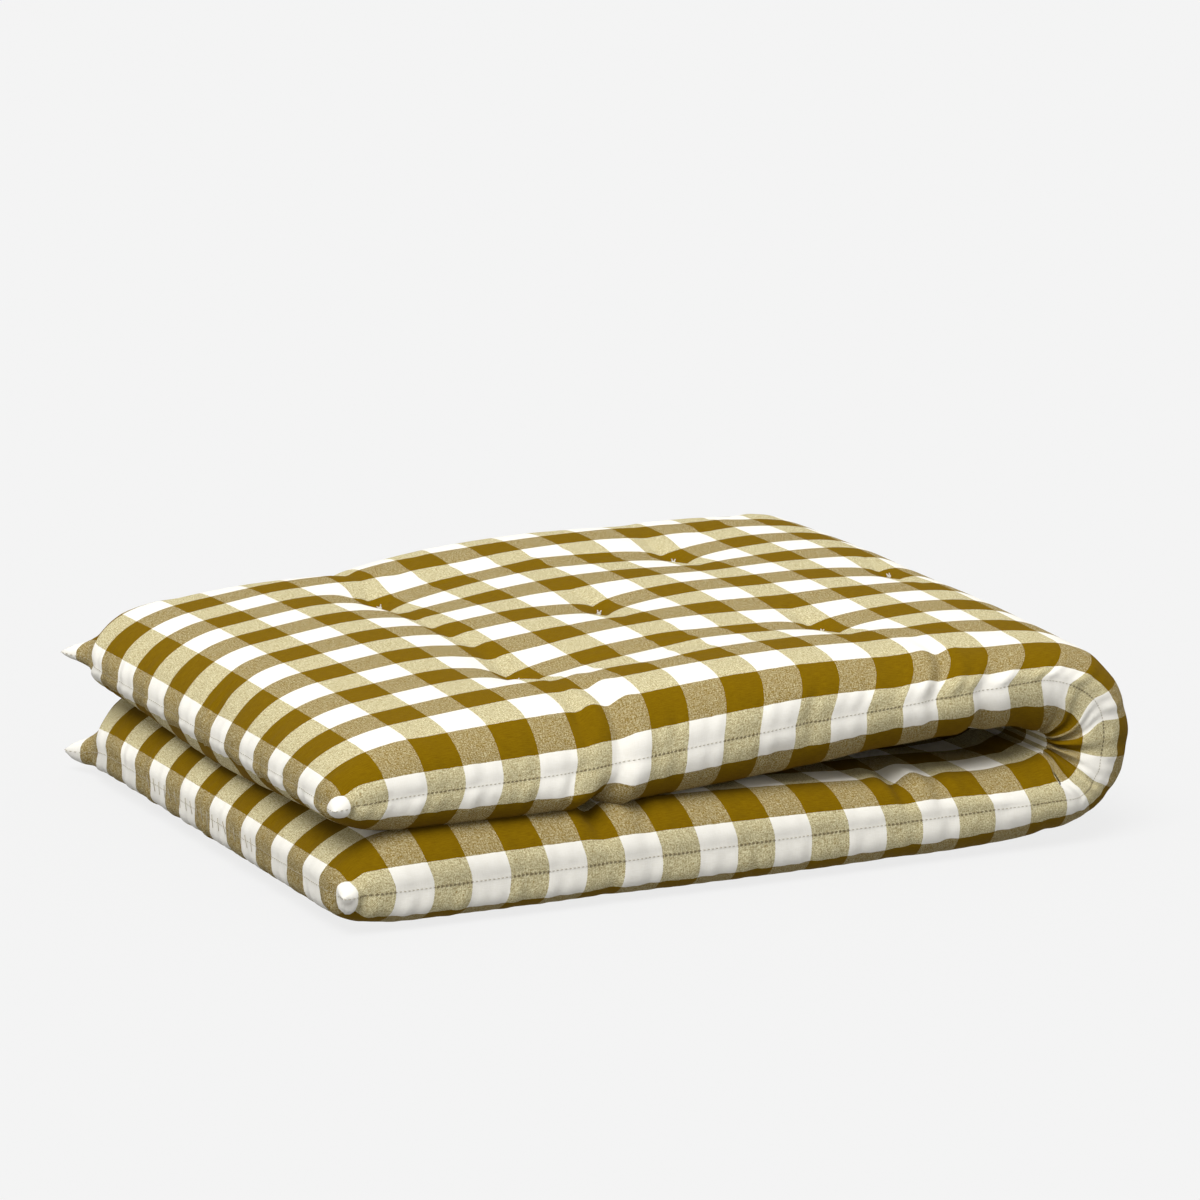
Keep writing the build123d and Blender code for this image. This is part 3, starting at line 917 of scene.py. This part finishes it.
def tube(path, radius, sides=TUBE_SIDES):
    """Points and faces of a closed tube along a path, narrowed at both ends."""
    path = np.asarray(path, float)
    tangents = np.gradient(path, axis=0)
    tangents /= np.linalg.norm(tangents, axis=1, keepdims=True)
    side = np.cross(tangents[0], [0.31, 0.22, 0.93])
    rings = []
    for count, (centre, tangent) in enumerate(zip(path, tangents)):
        side = side - tangent * (side @ tangent)
        side /= np.linalg.norm(side)
        other = np.cross(tangent, side)
        thick = radius * (TUBE_TAPER if count in (0, len(path) - 1) else 1.0)
        for corner in range(sides):
            turn = 2 * math.pi * corner / sides
            rings.append(centre + thick * (math.cos(turn) * side + math.sin(turn) * other))
    tube_faces = []
    for ring in range(len(path) - 1):
        for corner in range(sides):
            beside = (corner + 1) % sides
            low = ring * sides
            tube_faces.append((low + corner, low + beside, low + sides + beside, low + sides + corner))
    tube_faces.append(tuple(range(sides))[::-1])
    tube_faces.append(tuple(range(len(rings) - sides, len(rings))))
    return np.array(rings), tube_faces


def joined(name, parts, material):
    """One object from several sets of points and faces, shaded smooth."""
    all_points = []
    all_faces = []
    for part_points, part_faces in parts:
        base = len(all_points)
        all_points.extend(part_points)
        all_faces.extend(tuple(base + corner for corner in face) for face in part_faces)
    made = mesh_object(name, all_points, all_faces)
    made.data.polygons.foreach_set("use_smooth", np.ones(len(all_faces), bool))
    made.data.materials.append(material)
    return made


thread_material, thread_shader, thread_wire = new_material("seam_thread")
thread_place = thread_wire.node("ShaderNodeUVMap", {"uv_map": "cloth"}, {})
thread_column = thread_wire.node("ShaderNodeSeparateXYZ", {}, {0: thread_place}, "X")
thread_twist = thread_wire.node("ShaderNodeTexNoise", {}, {"Vector": thread_place, "Scale": 90.0})
beside_olive = ((thread_column + 0.5) * 0.5).fraction() > 0.5
thread_shade = beside_olive.mix(THREAD_SHADED_ON_CREAM, THREAD_SHADED_ON_OLIVE)
thread_shade = thread_twist.ramp(0.3, 0.7).mix(thread_shade, THREAD_TWIST)
plug(thread_shade, thread_shader, "Base Color")
plug(thread_twist * 0.2 + 0.7, thread_shader, "Roughness")
thread_shader.inputs["Specular IOR Level"].default_value = 0.1


def seam_run(on_run, order):
    """The seam's points, their normals and their places on the cloth, in order."""
    chosen = np.nonzero(on_run)[0]
    chosen = chosen[np.argsort(order[chosen])]
    return points[chosen], normals[chosen], np.stack([column_at[chosen], row_at[chosen]], 1)


def stitches_along(run, keep):
    """Tubes of thread along the part of a run whose columns keep() accepts."""
    run_points, run_normals, run_cloth = run
    step = np.abs(np.diff(run_cloth, axis=0)).sum(axis=1)
    checks = np.concatenate([[0], np.cumsum(step)])
    parts = []
    cloth_places = []
    for number in range(int(checks[-1] * STITCHES)):
        spots = (number + 0.5 + STITCH_SHARE * STITCH_SPOTS) / STITCHES
        places = np.stack([np.interp(spots, checks, run_cloth[:, i]) for i in (0, 1)], 1)
        if not keep(places[:, 0].mean()):
            continue
        path = np.stack([np.interp(spots, checks, run_points[:, i]) for i in range(3)], 1)
        normal = np.stack([np.interp(spots, checks, run_normals[:, i]) for i in range(3)], 1)
        rise = THREAD_PROUD * STITCH_RISE[:, None]
        parts.append(tube(path + normal * rise, THREAD_RADIUS, THREAD_SIDES))
        cloth_places.extend(np.repeat(places, THREAD_SIDES, axis=0))
    return parts, cloth_places


ON_SEAM = 0.02                 # in checks, how near to the seam its points are
runs = [
    seam_run(row_at < ON_SEAM, column_at),
    seam_run(row_at > CHECKS_WIDE - ON_SEAM, column_at),
    seam_run(column_at < ON_SEAM, row_at),
    seam_run(column_at > CHECKS_LONG - ON_SEAM, row_at),
]
for number, joint in enumerate(frame["joints"]):
    low_cut, high_cut = cuts[number], cuts[number + 1]
    parts = []
    places = []
    for run in runs:
        found, found_places = stitches_along(run, lambda column: low_cut <= column <= high_cut)
        parts.extend(found)
        places.extend(found_places)
    thread = joined(f"seam_thread_{number + 1}", parts, thread_material)
    thread_map = thread.data.uv_layers.new(name="cloth")
    thread_loops = np.empty(len(thread.data.loops), int)
    thread.data.loops.foreach_get("vertex_index", thread_loops)
    thread_map.data.foreach_set("uv", np.array(places)[thread_loops].astype(np.float32).ravel())
    bend_at_hinge(thread, number)


# ---- Tufting twine -----------------------------
# Doubled cotton twine goes right through the mattress at each tuft. A small knot sits in the
# bottom of each hollow, with two short cut ends.

TWINE_RADIUS = 0.0009
KNOT_TWINE_RADIUS = 0.8 * TWINE_RADIUS    # pulled tight
TAIL_TWINE_RADIUS = 0.7 * TWINE_RADIUS
KNOT_LOOP_RADIUS = 0.0011
KNOT_PROUD = 0.0010
TAIL_RISE = 0.00432
TAIL_SWING = 0.00336
TWINE_DARK = (0.66, 0.63, 0.56, 1)
TWINE_LIGHT = (0.86, 0.845, 0.80, 1)

twine_material, twine_shader, twine_wire = new_material("cotton_twine")
twine_place = twine_wire.node("ShaderNodeTexCoord", {}, {}, "Object")
bands = {"wave_type": "BANDS", "bands_direction": "DIAGONAL"}
band_sizes = {"Vector": twine_place, "Scale": 420.0, "Distortion": 1.5, "Detail": 2.0}
strands = twine_wire.node("ShaderNodeTexWave", bands, band_sizes)
plug(strands.mix(TWINE_DARK, TWINE_LIGHT), twine_shader, "Base Color")
plug(strands * 0.15 + 0.75, twine_shader, "Roughness")
relief = {"Height": strands, "Strength": 0.6, "Distance": 0.0004}
plug(twine_wire.node("ShaderNodeBump", {}, relief), twine_shader, "Normal")
twine_shader.inputs["Specular IOR Level"].default_value = 0.1


def cloth_point(column, row, inner_panel):
    """The point of a panel that is nearest to a place on the cloth, and its normal."""
    away = np.hypot(column_at - column, row_at - row) + np.where(on_inner == inner_panel, 0, 100)
    nearest = np.argmin(away)
    return points[nearest], normals[nearest]


def knot(centre, outward, seed):
    """An overhand knot pulled tight, with its two cut ends."""
    side = np.cross(outward, [0.0, 1.0, 0.0])
    side /= np.linalg.norm(side)
    other = np.cross(outward, side)
    turn = np.linspace(0, 2 * math.pi, 33)
    swing = 1 + 0.45 * np.cos(3 * turn)
    loop = (np.outer(np.cos(2 * turn) * swing, side) + np.outer(np.sin(2 * turn) * swing, other)
            + np.outer(0.7 * np.sin(3 * turn), outward))
    parts = [tube(centre + outward * KNOT_PROUD + KNOT_LOOP_RADIUS * loop, KNOT_TWINE_RADIUS)]
    for hand in (-1, 1):
        lean = hand * (0.5 + 0.15 * math.sin(seed))
        share = np.linspace(0, 1, 7)[:, None]
        bend = side * lean * share + other * 0.35 * math.cos(seed * 2.3 + hand) * share ** 2
        parts.append(tube(centre + TAIL_RISE * outward * share + TAIL_SWING * bend, TAIL_TWINE_RADIUS))
    return parts


def tie(name, column, row, body, node):
    """One tie: the twine through the mattress and a knot on each side of it."""
    top, top_normal = cloth_point(column, row, False)
    low, low_normal = cloth_point(column, row, True)
    through = low + (top - low) * np.linspace(0, 1, 5)[:, None]
    parts = [tube(through, TWINE_RADIUS)]
    parts += knot(top, top_normal, column + row)
    parts += knot(low, low_normal, column - row)
    twine = joined(name, parts, twine_material)
    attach(twine, body)
    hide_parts(node)


layer_tufts = sorted(place for place in TUFTS if place[0] < FOLD_START)
for number, (column, row) in enumerate(layer_tufts, 1):
    tie(f"lower_twine_{number}", column, row, "lower_half", f"lower_tuft_{number}")
    tie(f"upper_twine_{number}", CHECKS_LONG - column, row, "upper_half", f"upper_tuft_{number}")
fold_tufts = sorted(place for place in TUFTS if FOLD_START < place[0] < FOLD_END)
for number, (column, row) in enumerate(fold_tufts, 1):
    tie(f"fold_twine_{number}", column, row, "fold_3", f"fold_3_tuft_{number}")


# ---- Closing stitches --------------------------
# The last stretch of the lower end's seam is closed by hand after filling: slanted stitches of
# the same thread that pass from one panel to the other.

CLOSING_STITCHES = 21
CLOSING_PITCH = 0.014 / CHECK
CLOSING_HALF = 0.1             # how far each end reaches from the seam, in checks
CLOSING_SLANT = 0.05
CLOSING_RADIUS = 0.0003
CLOSING_SUNK = 0.0008          # depth of a stitch's ends in the cloth, and its height over it
CLOSING_PROUD = 0.0005
CLOSING_OVER_SEAM = 0.0006


def beside_closing(row, inner_panel):
    """A point of the lower end, close beside its seam, and the cloth's normal there."""
    beside = (np.abs(column_at - CLOSING_HALF) < ON_SEAM * 1.5) & (on_inner == inner_panel)
    chosen = np.nonzero(beside)[0]
    chosen = chosen[np.argsort(row_at[chosen])]
    found = []
    for values in (points, normals):
        found.append(np.array([np.interp(row, row_at[chosen], values[chosen, i]) for i in range(3)]))
    return found


closing_parts = []
for number in range(CLOSING_STITCHES):
    row = CHECKS_WIDE / 2 + (number - (CLOSING_STITCHES - 1) / 2) * CLOSING_PITCH
    below, below_normal = beside_closing(row - CLOSING_SLANT, False)
    above, above_normal = beside_closing(row + CLOSING_SLANT, True)
    outward = below_normal + above_normal
    outward /= np.linalg.norm(outward)
    path = [below - below_normal * CLOSING_SUNK, below + below_normal * CLOSING_PROUD,
            (below + above) / 2 + outward * CLOSING_OVER_SEAM,
            above + above_normal * CLOSING_PROUD, above - above_normal * CLOSING_SUNK]
    closing_parts.append(tube(path, CLOSING_RADIUS, THREAD_SIDES))
closing = joined("closing_thread", closing_parts, thread_material)
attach(closing, "lower_half")
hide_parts("closing_stitches")
